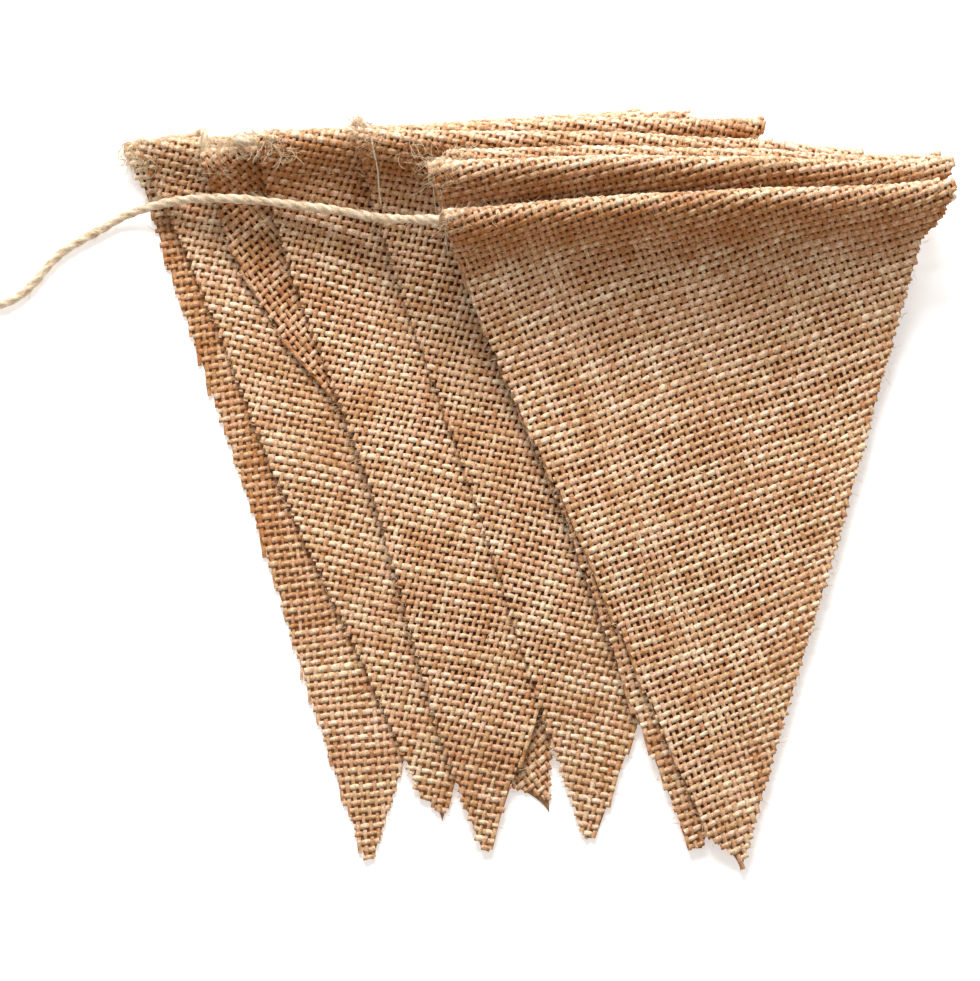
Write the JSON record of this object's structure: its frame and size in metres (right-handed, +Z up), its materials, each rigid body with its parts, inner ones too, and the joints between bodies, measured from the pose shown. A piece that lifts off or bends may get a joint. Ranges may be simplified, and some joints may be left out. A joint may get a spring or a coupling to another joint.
{
  "type": "fabric bunting",
  "caption": "Triangular hessian pennants with folded hems on a jute twine, laid on each other in a flat fanned stack.",
  "frame": {"origin": "on the surface, under the middle of the stack of pennants", "axes": "+Z up from the surface, +Y towards the hems, +X towards the right when the tips point at the viewer"},
  "size_m": [0.3194, 0.242, 0.0447],
  "materials": {
    "hessian": "natural tan jute cloth in an open plain weave, dull, with loose fibres and frayed cut edges",
    "jute_twine": "pale natural jute twine, loosely twisted, thick and thin along its length"
  },
  "bodies": {
    "root": {"pennant_1": "hessian", "pennant_2": "hessian", "pennant_3": "hessian", "pennant_4": "hessian", "pennant_5": "hessian", "pennant_6": "hessian", "pennant_7": "hessian", "pennant_8": "hessian", "twine_in_hems": "jute_twine", "twine_end": "jute_twine"}
  },
  "joints": []
}
